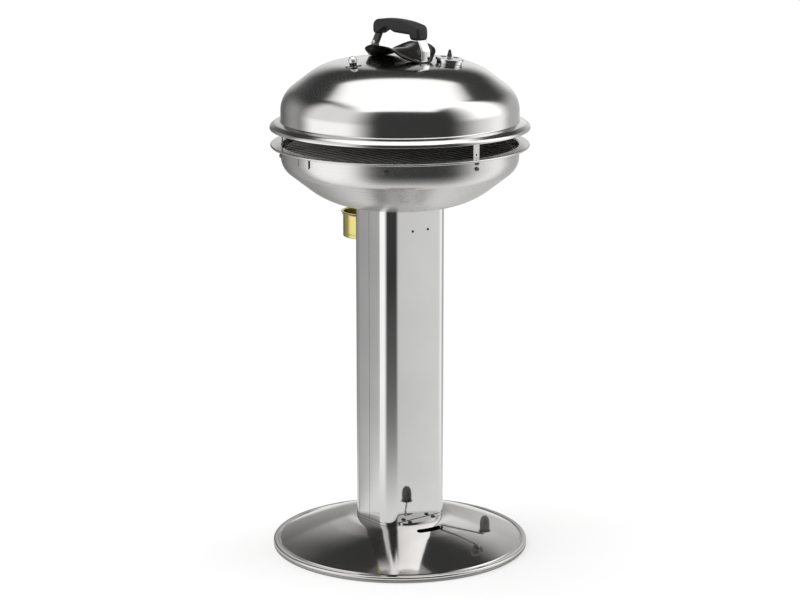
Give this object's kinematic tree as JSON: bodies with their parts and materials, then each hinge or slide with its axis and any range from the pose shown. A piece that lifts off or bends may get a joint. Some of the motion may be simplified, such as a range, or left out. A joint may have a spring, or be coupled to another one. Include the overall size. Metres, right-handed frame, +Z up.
{
  "type": "pedestal charcoal grill",
  "caption": "Round stainless charcoal grill on a rounded column and dished base, with a vented lift-off lid, grates, an air lever and a hanging grease cup.",
  "frame": {"origin": "centre of the base on the floor", "axes": "+Z up, -Y to the front where the air lever is, +X to the right"},
  "size_m": [0.503, 0.503, 1.0403],
  "materials": {
    "polished_steel": "mirror polished stainless sheet",
    "satin_steel": "satin stainless sheet",
    "plain_steel": "plain sheet steel",
    "bright_trim": "bright plated",
    "plated_fasteners": "zinc plated",
    "black_fasteners": "black oxide",
    "plated_wire": "plated wire",
    "black_plastic": "matt moulded",
    "black_enamel": "black enamel",
    "dark_rubber": "dark grey rubber",
    "lacquered_tin": "gold lacquered tin"
  },
  "bodies": {
    "stand": {"base_shell": "polished_steel", "base_floor_ring": "plain_steel", "column_foot_plate": "polished_steel", "foot_bolts": "black_fasteners", "foot_nuts": "plated_fasteners", "column_front_shell": "polished_steel", "column_rear_shell": "polished_steel", "column_seam_strips": "plain_steel", "column_collar": "plain_steel", "column_rivets": "plated_fasteners", "bowl_shell": "satin_steel", "bowl_bolts": "plated_fasteners", "bowl_nuts": "plated_fasteners", "drain_spout": "satin_steel", "lid_bracket_front": "satin_steel", "lid_bracket_left": "satin_steel", "lid_bracket_right": "satin_steel", "bracket_screws": "plated_fasteners", "bracket_nuts": "plated_fasteners", "grate_bolts": "plated_fasteners", "grate_nuts": "plated_fasteners", "accessory_loop_left": "satin_steel", "accessory_loop_right": "satin_steel", "cup_hanger": "plain_steel", "damper_pivot": "plated_fasteners", "damper_pivot_nut": "plated_fasteners"},
    "damper": {"damper_disc": "plain_steel", "damper_lever": "plated_wire", "lever_rivets": "plated_fasteners", "lever_washer": "plated_fasteners", "lever_tip": "dark_rubber"},
    "lid": {"lid_shell": "polished_steel", "handle_strap_front": "bright_trim", "handle_strap_rear": "bright_trim", "handle_grip": "black_plastic", "heat_shield": "black_enamel", "handle_bolts": "plated_fasteners", "handle_nuts": "plated_fasteners", "vent_seat": "bright_trim", "vent_rivet": "bright_trim", "hook_nut": "bright_trim", "hook_seal": "dark_rubber", "hook_washer": "bright_trim", "hook_bolt": "plated_fasteners", "lid_hook": "plain_steel"},
    "vent": {"vent_cap": "bright_trim"},
    "cooking_rack": {"cooking_grate": "black_enamel"},
    "charcoal_rack": {"charcoal_grate": "plated_wire"},
    "cup": {"grease_cup": "lacquered_tin"}
  },
  "joints": [
    {"name": "lid_lift", "type": "slide", "parent": "stand", "child": "lid", "axis": [0, 0, 1], "range_m": [0, 0.3]},
    {"name": "vent_turn", "type": "hinge", "parent": "lid", "child": "vent", "pos_m": [0.05, -0.0866, 0.9616], "axis": [0.0588, -0.1019, 0.9931], "range_deg": [0, 60]},
    {"name": "damper_swing", "type": "hinge", "parent": "stand", "child": "damper", "pos_m": [0, 0, 0.0577], "axis": [0, 0, 1], "range_deg": [-24, 0]},
    {"name": "cooking_grate_lift", "type": "slide", "parent": "stand", "child": "cooking_rack", "axis": [0, 0, 1], "range_m": [0, 0.04]},
    {"name": "charcoal_grate_lift", "type": "slide", "parent": "stand", "child": "charcoal_rack", "axis": [0, 0, 1], "range_m": [0, 0.045]},
    {"name": "cup_slide", "type": "slide", "parent": "stand", "child": "cup", "axis": [0, 1, 0], "range_m": [0, 0.1]}
  ]
}
